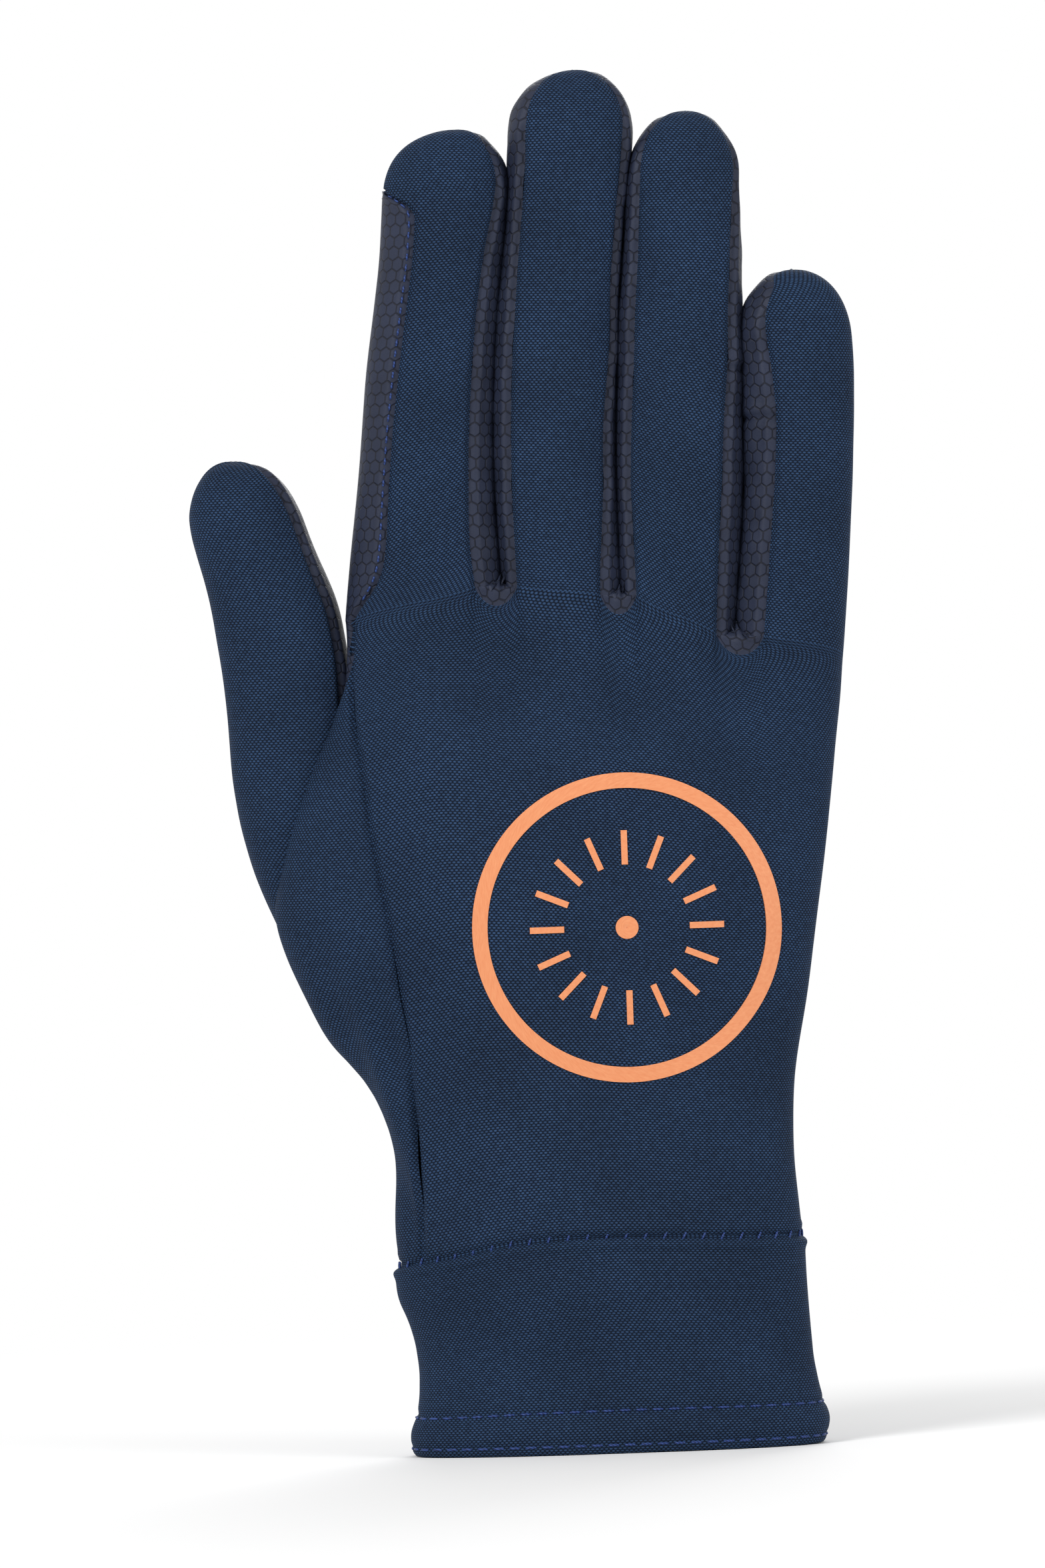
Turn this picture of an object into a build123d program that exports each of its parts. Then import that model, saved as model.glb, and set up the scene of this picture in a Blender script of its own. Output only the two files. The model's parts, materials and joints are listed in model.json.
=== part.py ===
from build123d import *

import os
from math import atan2, degrees, radians, tan

# Right-hand riding glove, standing fingers up on its cuff hem: +Z up the fingers, the back of the hand
# faces -Y, the palm faces +Y and the thumb points to -X. Origin: bottom centre of the whole glove's box.
#
# The glove is sewn from flat panels. Every panel is a piece of a thin hollow shell, split where the seams
# run. Each finger is two stiff lengths that hinge at the knuckle and at the middle joint; the palm side is
# notched at each hinge, where the leather gathers into a crease.

# ---- driving dimensions, millimetres -------------------------------------------------------------------
WALL = 1.2  # knit and leather panels alike
SEAM_GAP = 0.05  # between panels that are sewn edge to edge
HINGE_GAP = 0.3  # between two bodies at rest
FINGER_GAP_ROOT = 1.8
FINGER_GAP_TIP = 0.8
FLEX_AXIS_Y = 3.0  # finger hinges lie this far to the palm side of the middle
NOTCH_SPARE = 2.0  # degrees of spare room in each palm notch

KNUCKLE_FLEX = 75.0  # degrees, finger bends at its root
MIDDLE_FLEX = 85.0  # degrees, finger bends at its middle joint
THUMB_FOLD = 25.0  # degrees, thumb folds over the palm
THUMB_FLEX = 55.0  # degrees, thumb bends at its middle joint

# Fingers, from the thumb side. Root and tip heights are above the hem, the two joints above the root.
FINGERS = {
    "index": dict(root=149.0, tip=233.3, half=11.2, depth=8.2, knuckle=9.0, middle=37.0),
    "middle": dict(root=148.0, tip=243.2, half=10.0, depth=8.2, knuckle=9.0, middle=40.0),
    "ring": dict(root=143.0, tip=235.3, half=10.1, depth=8.1, knuckle=12.0, middle=42.0),
    "little": dict(root=138.0, tip=206.8, half=9.3, depth=7.7, knuckle=10.0, middle=33.0),
}
MIDDLE_ROOT_X = -6.3  # the middle finger's root, from the middle of the cuff
MIDDLE_LEAN = 3.3  # degrees, tip towards the little finger
FINGER_CORNER = 0.94  # a finger's corner radius, as a share of its half depth
TIP_CORNER = 0.8  # rounding of the fingertip, as a share of its half depth
STRIP = 5.0  # half the width of the strip between a finger's back and palm panels
CROTCH_DEPTH = 5.0  # the strip turns down this far into the hand at a crotch
ROOT_OVERLAP = 14.0  # how far a finger's tube runs down into the hand

# Hand shell: height, thumb-side edge, little-finger edge, half depth.
CUFF_HEIGHT = 37.0
HAND_SECTIONS = (
    (CUFF_HEIGHT, -37.6, 33.6, 14.4),
    (62.0, -43.0, 32.4, 14.6),
    (98.0, -60.0, 38.3, 14.6),
    (121.0, -60.5, 41.6, 14.6),
    (147.0, -44.6, 44.6, 9.6),
)
CORNER = 9.0  # radius of the hand's corners, looking along it
HAND_SLOPE = ((4.3, 147.0), (25.6, 138.0))  # the hand's top falls away to the little finger on this line

# Thumb: a tube beside the hand, cut off along the crease where it meets the ball of the thumb.
THUMB = dict(root=(-50.8, 92.0), tip=(-61.6, 176.3), half=11.0, depth=8.6, middle=58.0)
THUMB_Y = 3.5  # the thumb sits towards the palm
THUMB_AXIS_Y = 7.0
CREASE_FOOT = (-60.0, 96.0)
CREASE_TOP = (-44.0, 143.0)

THUMB_SEAM = ((-34.2, 30.0), (-35.6, 70.0), (-39.4, 100.0), (-43.0, 130.0), (-44.4, 155.0))
PALM_SPLIT_Y = 2.5  # back and palm meet here round the edges of the hand

REIN_EDGE = 4.9  # rein panel's sewn edge, from the index finger's centre line
REIN_TOP = 9.5  # rein panel stops this far below the fingertip
THREAD = 0.45  # thickness of a row of stitches
CLEAR = 0.05  # between a surface and what is sewn or printed on it
HEM_DEPTH = 8.5  # turned-in hem
HEM_LIFT = 0.5  # its fold stands this far above the edge of the band
HEM_WALL = 1.0
HEM_ROWS = (1.8, 7.6)  # heights of the two rows of stitches

PRINT_CENTRE = (3.6, 92.0)
PRINT_RADIUS = 27.1
PRINT_BAND = 2.7
PRINT_FILM = 0.2
PRINT_BARS = 16
PRINT_BAR = (1.1, 6.0)  # width and length of one bar
PRINT_BAR_MIDDLE = 14.0
PRINT_DOT = 4.0

FAR = 300.0  # cutting blocks reach this far


# ---- blanks --------------------------------------------------------------------------------------------
def stacked(sections, inset=0.0):
    """Solid through upright rounded boxes, each drawn in by inset all round."""
    faces = []
    for height, left, right, half_depth in sections:
        size = (right - left - 2 * inset, 2 * (half_depth - inset))
        faces.append(Pos((left + right) / 2, 0, height) * RectangleRounded(*size, CORNER - inset))
    return loft(faces, ruled=True)


def tube(length, half, depth, below, inset=0.0):
    """Closed finger of rounded section along +Z from -below to length, drawn in by inset."""
    section = RectangleRounded(2 * (half - inset), 2 * (depth - inset), FINGER_CORNER * depth - inset)
    solid = extrude(Pos(0, 0, -below) * section, amount=below + length - inset)
    rim = solid.faces().sort_by(Axis.Z)[-1].edges()
    return fillet(rim, TIP_CORNER * depth - inset)


def block(x=(-FAR, FAR), y=(-FAR, FAR), z=(-FAR, FAR)):
    size = [b - a for a, b in (x, y, z)]
    centre = [(a + b) / 2 for a, b in (x, y, z)]
    return Pos(*centre) * Box(*size)


def wedge(swing, axis_y, width):
    """Notch along X that opens to +Y and closes when its two sides swing together."""
    half = radians(swing / 2 + NOTCH_SPARE)
    reach = 40.0
    apex = axis_y - HINGE_GAP / 2 / tan(half)
    rise = reach * tan(half)
    side = make_face(Polyline((apex, 0), (apex + reach, rise), (apex + reach, -rise), close=True))
    return extrude(Plane.YZ * side, amount=width, both=True)


def hinge_room(height, swing, width=60.0):
    """What is cut from a finger at a hinge: a thin slice, and the notch on the palm side."""
    slice_ = block(x=(-width, width), y=(-60, 60), z=(-HINGE_GAP / 2, HINGE_GAP / 2))
    return Pos(0, 0, height) * (slice_ + wedge(swing, FLEX_AXIS_Y, width))


def kept(shape, least=1.0):
    """The solids of a shape, without crumbs."""
    return [s for s in shape.solids() if s.volume > least]


# ---- where things are ----------------------------------------------------------------------------------
def lean_of(root, tip):
    return degrees(atan2(tip[0] - root[0], tip[1] - root[1]))


def between(root, tip):
    return ((tip[0] - root[0]) ** 2 + (tip[1] - root[1]) ** 2) ** 0.5


def place_fingers():
    """Root and tip points of each finger: neighbours stand a root gap and a tip gap apart."""
    mid = FINGERS["middle"]
    rise = mid["tip"] - mid["root"]
    tip_x = MIDDLE_ROOT_X + rise * tan(radians(MIDDLE_LEAN))
    places = {"middle": ((MIDDLE_ROOT_X, mid["root"]), (tip_x, mid["tip"]))}
    for name, neighbour, side in (("index", "middle", -1), ("ring", "middle", 1), ("little", "ring", 1)):
        me = FINGERS[name]
        (ox, oz), (tx, tz) = places[neighbour]
        top = min(me["tip"], tz)
        slope = (tx - ox) / (tz - oz)
        apart = me["half"] + FINGERS[neighbour]["half"]
        root_x = ox + (me["root"] - oz) * slope + side * (apart + FINGER_GAP_ROOT)
        top_x = ox + (top - oz) * slope + side * (apart + FINGER_GAP_TIP)
        grow = (me["tip"] - me["root"]) / (top - me["root"])
        places[name] = ((root_x, me["root"]), (root_x + (top_x - root_x) * grow, me["tip"]))
    return places


PLACES = place_fingers()
LENGTHS = {name: between(*place) for name, place in PLACES.items()}
FRAMES = {name: Pos(root[0], 0, root[1]) * Rot(0, lean_of(root, tip), 0)
          for name, (root, tip) in PLACES.items()}
THUMB_LENGTH = between(THUMB["root"], THUMB["tip"])
THUMB_LEAN = lean_of(THUMB["root"], THUMB["tip"])
THUMB_FRAME = Pos(THUMB["root"][0], THUMB_Y, THUMB["root"][1]) * Rot(0, THUMB_LEAN, 0)
CREASE_FRAME = Pos(CREASE_FOOT[0], 0, CREASE_FOOT[1]) * Rot(0, lean_of(CREASE_FOOT, CREASE_TOP), 0)


# ---- fingers -------------------------------------------------------------------------------------------
def finger_tube(name, inset=0.0):
    f = FINGERS[name]
    return tube(LENGTHS[name], f["half"], f["depth"], ROOT_OVERLAP, inset)


def finger_regions(name):
    """Blocks, in the finger's frame, that a finger's shell is divided by: panel name to block."""
    half = SEAM_GAP / 2
    back = block(y=(-FAR, -STRIP - half))
    palm = block(y=(STRIP + half, FAR))
    left = block(x=(-FAR, -half), y=(-STRIP + half, STRIP - half))
    right = block(x=(half, FAR), y=(-STRIP + half, STRIP - half))
    if name == "index":
        stop = LENGTHS[name] - REIN_TOP
        rein = block(x=(-FAR, -REIN_EDGE - half), y=(-FAR, STRIP - half), z=(-FAR, stop - half))
        knit = block(x=(-REIN_EDGE + half, FAR), y=(-FAR, -STRIP - half))
        cap = block(x=(-FAR, -half), y=(-FAR, STRIP - half), z=(stop + half, FAR))
        return {"back": knit + cap, "palm": palm, "rein_panel": rein, "fourchette": right}
    if name == "little":
        wrap = back + block(x=(half, FAR), y=(-FAR, STRIP - half))
        return {"back": wrap, "palm": palm, "fourchette": left}
    return {"back": back, "palm": palm, "fourchette_left": left, "fourchette_right": right}


def rein_threads():
    """A row of stitches along the rein panel's edge, in two lengths."""
    f = FINGERS["index"]
    film = finger_tube("index", -THREAD - CLEAR) - finger_tube("index", -CLEAR)
    row = film & block(x=(-REIN_EDGE - 2 * THREAD, -REIN_EDGE - THREAD), y=(-FAR, 0))
    top = LENGTHS["index"] - REIN_TOP - THREAD
    low = (f["knuckle"] + HINGE_GAP, f["middle"] - HINGE_GAP)
    high = (f["middle"] + HINGE_GAP, top)
    return {f"index_rein_thread_{key}": kept(FRAMES["index"] * (row & block(z=span)), 0.1)
            for key, span in (("lower", low), ("upper", high))}


def finger_nodes(name):
    """Every panel of one finger, in two lengths."""
    f = FINGERS[name]
    shell = finger_tube(name) - finger_tube(name, WALL)
    shell -= hinge_room(f["knuckle"], KNUCKLE_FLEX)
    shell -= hinge_room(f["middle"], MIDDLE_FLEX)
    nodes = {}
    for length, span in {"lower": (f["knuckle"], f["middle"]), "upper": (f["middle"], FAR)}.items():
        part = shell & block(z=span)
        for panel, region in finger_regions(name).items():
            nodes[f"{name}_{panel}_{length}"] = kept(FRAMES[name] * (part & region))
    return nodes


# ---- thumb ---------------------------------------------------------------------------------------------
def thumb_nodes():
    """Back and palm panels of the thumb, in two lengths; the foot is cut off along the crease."""
    half = SEAM_GAP / 2
    size = (THUMB_LENGTH, THUMB["half"], THUMB["depth"], 0.0)
    shell = tube(*size) - tube(*size, WALL)
    shell -= hinge_room(THUMB["middle"], THUMB_FLEX)
    low = STRIP / 2  # the seam lies nearer the palm on the outer side
    regions = {
        "back": block(y=(-FAR, -STRIP - half)) + block(x=(-FAR, -half), y=(-FAR, low - half)),
        "palm": block(y=(low + half, FAR)) + block(x=(half, FAR), y=(-STRIP + half, FAR)),
    }
    beyond = CREASE_FRAME * block(x=(-FAR, -HINGE_GAP / 2)) - CREASE_FRAME * thumb_notch()
    nodes = {}
    for panel, region in regions.items():
        lower = THUMB_FRAME * (shell & region & block(z=(-FAR, THUMB["middle"])))
        upper = THUMB_FRAME * (shell & region & block(z=(THUMB["middle"], FAR)))
        nodes[f"thumb_{panel}_lower"] = kept(lower & beyond, 5.0)
        nodes[f"thumb_{panel}_upper"] = kept(upper)
    return nodes


def thumb_notch():
    """Room on the palm side of the crease for the thumb to fold, in the crease's frame."""
    return Rot(0, 90, 0) * wedge(THUMB_FOLD, THUMB_AXIS_Y, FAR)


# ---- hand and cuff -------------------------------------------------------------------------------------
def sloped(drop=0.0):
    """Everything under the line that the hand's top follows beside the little finger."""
    (x0, z0), (x1, z1) = HAND_SLOPE
    return Pos(x0, 0, z0) * Rot(0, degrees(atan2(z0 - z1, x1 - x0)), 0) * block(z=(-FAR, -drop))


def hand_shell():
    """Hand with the stubs that the fingers hinge on, hollow and open at the wrist."""
    *low, (top, left, right, depth) = HAND_SECTIONS
    outer = stacked(HAND_SECTIONS) & sloped()
    hollow = stacked((*low, (top - WALL, left, right, depth)), WALL) & sloped(WALL)
    for name, f in FINGERS.items():
        outer += FRAMES[name] * (finger_tube(name) & block(z=(-FAR, f["knuckle"])))
        hollow += FRAMES[name] * (finger_tube(name, WALL) & block(z=(-FAR, f["knuckle"] + 1)))
    shell = (outer - hollow) & block(z=(CUFF_HEIGHT + HINGE_GAP / 2, FAR))
    for name, f in FINGERS.items():
        shell -= FRAMES[name] * hinge_room(f["knuckle"], KNUCKLE_FLEX, f["half"] + FINGER_GAP_ROOT / 2)
    return (shell & (CREASE_FRAME * block(x=(HINGE_GAP / 2, FAR)))) - CREASE_FRAME * thumb_notch()


def hand_top(x):
    """Height of the hand's top between two fingers."""
    (x0, z0), (x1, z1) = HAND_SLOPE
    return z0 - max(0.0, x - x0) * (z0 - z1) / (x1 - x0)


def crotch(a, b, grow):
    """Block that holds the strip of leather between two fingers and its turn round the crotch."""
    middle = (PLACES[a][0][0] + PLACES[b][0][0]) / 2
    low = hand_top(middle) - CROTCH_DEPTH - grow
    left = FRAMES[a] * block(x=(-grow, FAR), z=(low - FINGERS[a]["root"], FAR))
    right = FRAMES[b] * block(x=(-FAR, grow), z=(low - FINGERS[b]["root"], FAR))
    return left & right & block(y=(-STRIP - grow, STRIP + grow))


def thumb_side(gap):
    """Everything on the thumb's side of the back seam."""
    line = [(x - gap, z) for x, z in THUMB_SEAM]
    outline = Polyline(*line, (-FAR, line[-1][1]), (-FAR, line[0][1]), close=True)
    return extrude(Plane.XZ * make_face(outline), amount=FAR, both=True)


def hand_nodes():
    shell = hand_shell()
    half = SEAM_GAP / 2
    names = list(FINGERS)
    nodes = {}
    rest = shell
    for a, b in zip(names, names[1:]):
        nodes[f"crotch_{a}_{b}"] = kept(shell & crotch(a, b, -half))
        rest -= crotch(a, b, half)
    front = rest & block(y=(-FAR, PALM_SPLIT_Y - half))
    rein = FRAMES["index"] * block(x=(-FAR, -REIN_EDGE - half), z=(half, FAR))
    cloth = front - FRAMES["index"] * block(x=(-FAR, -REIN_EDGE + half), z=(-half, FAR))
    nodes["index_rein_panel_root"] = kept(front & rein)
    nodes["thumb_gusset"] = kept(cloth & thumb_side(half))
    nodes["back_panel"] = kept(cloth - thumb_side(-half))
    nodes["palm_panel"] = kept(rest & block(y=(PALM_SPLIT_Y + half, FAR)))
    return nodes


def cuff_ring(outset, wall, span):
    """Band round the cuff: outset from its surface, wall thick, between two heights."""
    _, left, right, half_depth = HAND_SECTIONS[0]
    outside = (right - left + 2 * outset, 2 * (half_depth + outset))
    inside = (outside[0] - 2 * wall, outside[1] - 2 * wall)
    face = RectangleRounded(*outside, CORNER + outset) - RectangleRounded(*inside, CORNER + outset - wall)
    return extrude(Pos((left + right) / 2, 0, span[0]) * face, amount=span[1] - span[0])


def cuff_nodes():
    """Knit tube with its lower edge turned in and held by two rows of stitches."""
    nodes = {
        "cuff_band": kept(cuff_ring(0.0, WALL, (0.0, CUFF_HEIGHT - HINGE_GAP / 2))),
        "cuff_hem_facing": kept(cuff_ring(-WALL - SEAM_GAP, HEM_WALL, (HEM_LIFT, HEM_DEPTH))),
    }
    rows = dict(zip(("hem_thread_lower", "hem_thread_upper"), HEM_ROWS))
    rows["cuff_seam_thread"] = CUFF_HEIGHT - 2 * THREAD
    for name, height in rows.items():
        nodes[name] = kept(cuff_ring(CLEAR + THREAD, THREAD, (height - THREAD / 2, height + THREAD / 2)))
    return nodes


def print_nodes():
    """Plain round print on the back of the hand: a ring, and a dial of bars round a dot."""
    front = max(depth for *_, depth in HAND_SECTIONS) + CLEAR
    plane = Plane(origin=(PRINT_CENTRE[0], -front, PRINT_CENTRE[1]), x_dir=(1, 0, 0), z_dir=(0, -1, 0))
    ring = Circle(PRINT_RADIUS) - Circle(PRINT_RADIUS - PRINT_BAND)
    nodes = {"print_ring": kept(extrude(plane * ring, amount=PRINT_FILM))}
    bar = Pos(0, PRINT_BAR_MIDDLE) * Rectangle(*PRINT_BAR)
    turns = [Rot(0, 0, 360 * i / PRINT_BARS) for i in range(PRINT_BARS)]
    bars = [extrude(plane * (turn * bar), amount=PRINT_FILM) for turn in turns]
    dot = extrude(plane * Circle(PRINT_DOT / 2), amount=PRINT_FILM)
    nodes["print_dial"] = [s for shape in (*bars, dot) for s in kept(shape, 0.1)]
    return nodes


# ---- the glove -----------------------------------------------------------------------------------------
def build():
    nodes = {**cuff_nodes(), **hand_nodes(), **print_nodes(), **thumb_nodes(), **rein_threads()}
    for name in FINGERS:
        nodes.update(finger_nodes(name))
    return nodes


def origin_shift(nodes):
    """Moves the glove so that its box stands centred on the origin."""
    boxes = [s.bounding_box() for solids in nodes.values() for s in solids]
    low_x, high_x = min(b.min.X for b in boxes), max(b.max.X for b in boxes)
    low_y, high_y = min(b.min.Y for b in boxes), max(b.max.Y for b in boxes)
    return Pos(-(low_x + high_x) / 2, -(low_y + high_y) / 2, -min(b.min.Z for b in boxes))


NODES = build()
SHIFT = origin_shift(NODES)
os.makedirs("parts", exist_ok=True)
for node, solids in NODES.items():
    placed = [SHIFT * s for s in solids]
    export_step(placed[0] if len(placed) == 1 else Compound(children=placed), f"parts/{node}.step")
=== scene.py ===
import json

import bmesh
import bpy
import numpy as np
from mathutils import Matrix, Vector


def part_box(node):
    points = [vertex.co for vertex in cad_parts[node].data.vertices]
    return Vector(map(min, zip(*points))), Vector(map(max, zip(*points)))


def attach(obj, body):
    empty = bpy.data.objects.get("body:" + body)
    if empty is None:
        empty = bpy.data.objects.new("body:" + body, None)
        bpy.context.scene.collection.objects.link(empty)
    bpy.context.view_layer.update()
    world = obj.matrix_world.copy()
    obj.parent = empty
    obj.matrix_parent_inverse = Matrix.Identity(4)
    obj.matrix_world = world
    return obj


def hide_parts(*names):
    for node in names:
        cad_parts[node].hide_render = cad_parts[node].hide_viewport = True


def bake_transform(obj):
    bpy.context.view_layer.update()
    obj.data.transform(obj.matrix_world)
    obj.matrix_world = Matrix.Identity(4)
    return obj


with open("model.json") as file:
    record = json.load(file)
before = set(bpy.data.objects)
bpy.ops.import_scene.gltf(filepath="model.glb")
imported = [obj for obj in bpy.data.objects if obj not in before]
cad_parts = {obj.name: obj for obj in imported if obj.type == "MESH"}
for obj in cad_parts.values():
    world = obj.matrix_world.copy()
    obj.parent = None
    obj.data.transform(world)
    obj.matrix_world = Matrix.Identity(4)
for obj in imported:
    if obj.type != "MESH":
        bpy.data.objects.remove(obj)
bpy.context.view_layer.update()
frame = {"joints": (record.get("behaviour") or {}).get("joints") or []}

joints = {j["name"]: j for j in frame["joints"]}

# Camera: far away with a long lens, level with the middle of the glove and square to the back of the
# hand, turned two degrees so that the glove leans to the left.
MM = 0.001


def new_object(name, data):
    """A new object with its data, linked to the scene."""
    obj = bpy.data.objects.new(name, data)
    bpy.context.scene.collection.objects.link(obj)
    return obj


cuff_low, cuff_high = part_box("cuff_band")
hem_x = (cuff_low.x + cuff_high.x) / 2 / MM + 2.0  # the middle of the hem; every x below is measured from it
field_height, distance, lean = 275.2 * MM, 2.0, np.radians(2.0)
aim = Vector(((hem_x - 13.9) * MM, -0.008, 117.7 * MM))
camera = new_object("camera", bpy.data.cameras.new("camera"))
camera.data.sensor_width = 36.0
camera.data.lens = camera.data.sensor_width * distance / field_height
right = Vector((np.cos(lean), 0, -np.sin(lean)))
up = Vector((np.sin(lean), 0, np.cos(lean)))
turn = Matrix((right, up, Vector((0, -1, 0)))).transposed()
camera.matrix_world = Matrix.Translation(aim - Vector((0, distance, 0))) @ turn.to_4x4()
camera.data.clip_end = 50
bpy.context.scene.camera = camera

# Studio: a large soft key lamp up on the left, a weaker one on the right and one behind, with a pale room
# all round. The room and the far floor show as white; the floor near the glove keeps its shadow.
bpy.context.scene.view_settings.view_transform = "Standard"


def srgb(code):
    """Linear colour of a hex sRGB code."""
    c = np.array([int(code[i:i + 2], 16) for i in (0, 2, 4)]) / 255
    return (*np.where(c <= 0.04045, c / 12.92, ((c + 0.055) / 1.055) ** 2.4), 1.0)


def add(tree, kind, inputs=None, **settings):
    """Adds a node with its settings; inputs are values, or sockets to link from."""
    n = tree.nodes.new(kind)
    for key, value in settings.items():
        setattr(n, key, value)
    for key, value in (inputs or {}).items():
        if isinstance(value, bpy.types.NodeSocket):
            tree.links.new(value, n.inputs[key])
        else:
            n.inputs[key].default_value = value
    return n


def emptied(owner):
    """The node tree of a world or a material, with nothing in it yet."""
    owner.use_nodes = True
    owner.node_tree.nodes.clear()
    return owner.node_tree


def lamp(name, place, target, size, watts):
    """A round lamp in metres and watts, turned so that it shines at its target."""
    data = bpy.data.lights.new(name, "AREA")
    data.shape, data.size, data.energy = "DISK", size, watts
    obj = new_object(name, data)
    obj.location = place
    obj.rotation_mode = "QUATERNION"
    obj.rotation_quaternion = (Vector(target) - Vector(place)).to_track_quat("-Z", "Y")


centre = (0, 0, 0.12)
lamp("key", (-0.8, -1.1, 0.95), centre, 0.6, 15)
lamp("side", (1.0, -0.9, 0.5), centre, 0.8, 6)
lamp("back", (0.2, 1.3, 0.8), centre, 0.9, 12)

world = bpy.data.worlds.new("pale room")
bpy.context.scene.world = world
tree = emptied(world)
path = add(tree, "ShaderNodeLightPath")
seen = add(tree, "ShaderNodeMath", {0: path.outputs["Is Camera Ray"], 1: path.outputs["Is Glossy Ray"]},
           operation="MAXIMUM")
seen = add(tree, "ShaderNodeMath", {0: seen.outputs[0], 1: path.outputs["Is Transmission Ray"]},
           operation="MAXIMUM")
strength = add(tree, "ShaderNodeMapRange", {"Value": seen.outputs[0], "To Min": 0.55, "To Max": 1.0})
room = add(tree, "ShaderNodeBackground", {"Color": (1, 1, 1, 1), "Strength": strength.outputs[0]})
add(tree, "ShaderNodeOutputWorld", {"Surface": room.outputs[0]})

# Painted studio floor: pale matt paint near the glove, clear white further off.
floor_half = 6.0  # metres
near, away = 0.10, 0.45  # metres from the glove between which the paint turns clear white
floor_mesh = bpy.data.meshes.new("floor")
floor_mesh.from_pydata([(-floor_half, -floor_half, 0), (floor_half, -floor_half, 0),
                        (floor_half, floor_half, 0), (-floor_half, floor_half, 0)], [], [(0, 1, 2, 3)])
floor = new_object("floor", floor_mesh)
paint = bpy.data.materials.new("matt white floor paint")
tree = emptied(paint)
place = add(tree, "ShaderNodeTexCoord")
reach = add(tree, "ShaderNodeVectorMath", {0: place.outputs["Object"]}, operation="LENGTH")
far = add(tree, "ShaderNodeMapRange", {"Value": reach.outputs["Value"], "From Min": near, "From Max": away},
          interpolation_type="SMOOTHSTEP")
path = add(tree, "ShaderNodeLightPath")
seen = add(tree, "ShaderNodeMath", {0: path.outputs["Is Camera Ray"], 1: path.outputs["Is Glossy Ray"]},
           operation="MAXIMUM")
seen = add(tree, "ShaderNodeMath", {0: seen.outputs[0], 1: far.outputs[0]}, operation="MULTIPLY")
matt = add(tree, "ShaderNodeBsdfDiffuse", {"Color": srgb("f4f4f4")})
white = add(tree, "ShaderNodeEmission", {"Color": (1, 1, 1, 1), "Strength": 1.0})
shown = add(tree, "ShaderNodeMixShader", {0: seen.outputs[0], 1: matt.outputs[0], 2: white.outputs[0]})
add(tree, "ShaderNodeOutputMaterial", {"Surface": shown.outputs[0]})
floor_mesh.materials.append(paint)

# Cuff: a knitted tube of polyester softshell, its lower edge turned in and sewn with two rows of stitches,
# its upper edge sewn to the hand.
CLOTH = 1.1  # thickness of knit and leather, mm
knit_wale = 0.80  # mm between columns of knitted loops; really about 0.65, drawn coarser so that it shows
knit_course = 0.62 * knit_wale  # mm between rows of loops


def smooth(t):
    """S curve from 0 to 1, flat at both ends."""
    t = np.clip(t, 0, 1)
    return t * t * (3 - 2 * t)


def line(z, knots, soften=2.5):
    """Value at height z on the line through (height, value) knots, its corners rounded over soften mm."""
    h, v = np.array(knots, float).T
    return np.mean([np.interp(z + o, h, v) for o in np.linspace(-soften, soften, 7)], axis=0)


def power(c, n):
    """Signed power, which makes a circle's sine or cosine into those of a rounded box."""
    return np.sign(c) * np.abs(c) ** n


def outward(p):
    """Unit normals of a grid of points, rows by columns."""
    n = np.cross(np.gradient(p, axis=1), np.gradient(p, axis=0))
    length = np.linalg.norm(n, axis=2, keepdims=True)
    return n / np.maximum(length, 1e-5)


def measured(p, axis):
    """Distance run along the rows (axis 1) or columns (axis 0) of a grid, from its start."""
    step = np.linalg.norm(np.diff(p, axis=axis), axis=2)
    start = np.zeros_like(np.take(step, [0], axis=axis))
    return np.concatenate([start, np.cumsum(step, axis=axis)], axis=axis)


def wavy(p, depth, size, seed, share=1.0):
    """Soft unevenness of cloth: a sum of sine waves of about one size in seeded directions. share is how
    much of it each point gets."""
    rng = np.random.default_rng(seed)
    total = np.zeros(p.shape[:2])
    for _ in range(5):
        way = rng.normal(size=3)
        way *= 2 * np.pi / size / np.linalg.norm(way) * rng.uniform(0.7, 1.4)
        total += np.sin(p @ way + rng.uniform(0, 6.3))
    return p + outward(p) * (share * depth * total / 5)[..., None]


LIP_ROOM = 6.0  # mm of panel width at which the lip beside a seam is full


def sewn(p, edges, groove=0.6, lip=0.3, width=0.7, share=1.0):
    """Draws a panel's sewn edges in, and raises a soft lip beside them where the panel is wide enough. share
    is how much of it each point gets."""
    across, along = measured(p, 1), measured(p, 0)
    inwards = {"left": across, "right": across[:, -1:] - across, "low": along, "top": along[-1:] - along}
    d = np.min([inwards[edge] for edge in edges], axis=0)
    rise = lip * np.exp(-((d - 2 * width) / width) ** 2) * smooth(across[:, -1:] / LIP_ROOM)
    rise -= groove * np.exp(-(d / width) ** 2)
    return p + outward(p) * (share * rise)[..., None]


def packed_ends(count):
    """Numbers from 0 to 1, closer together at both ends."""
    t = np.linspace(0, 1, count)
    return 0.35 * t + 0.65 * (1 - np.cos(np.pi * t)) / 2


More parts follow.
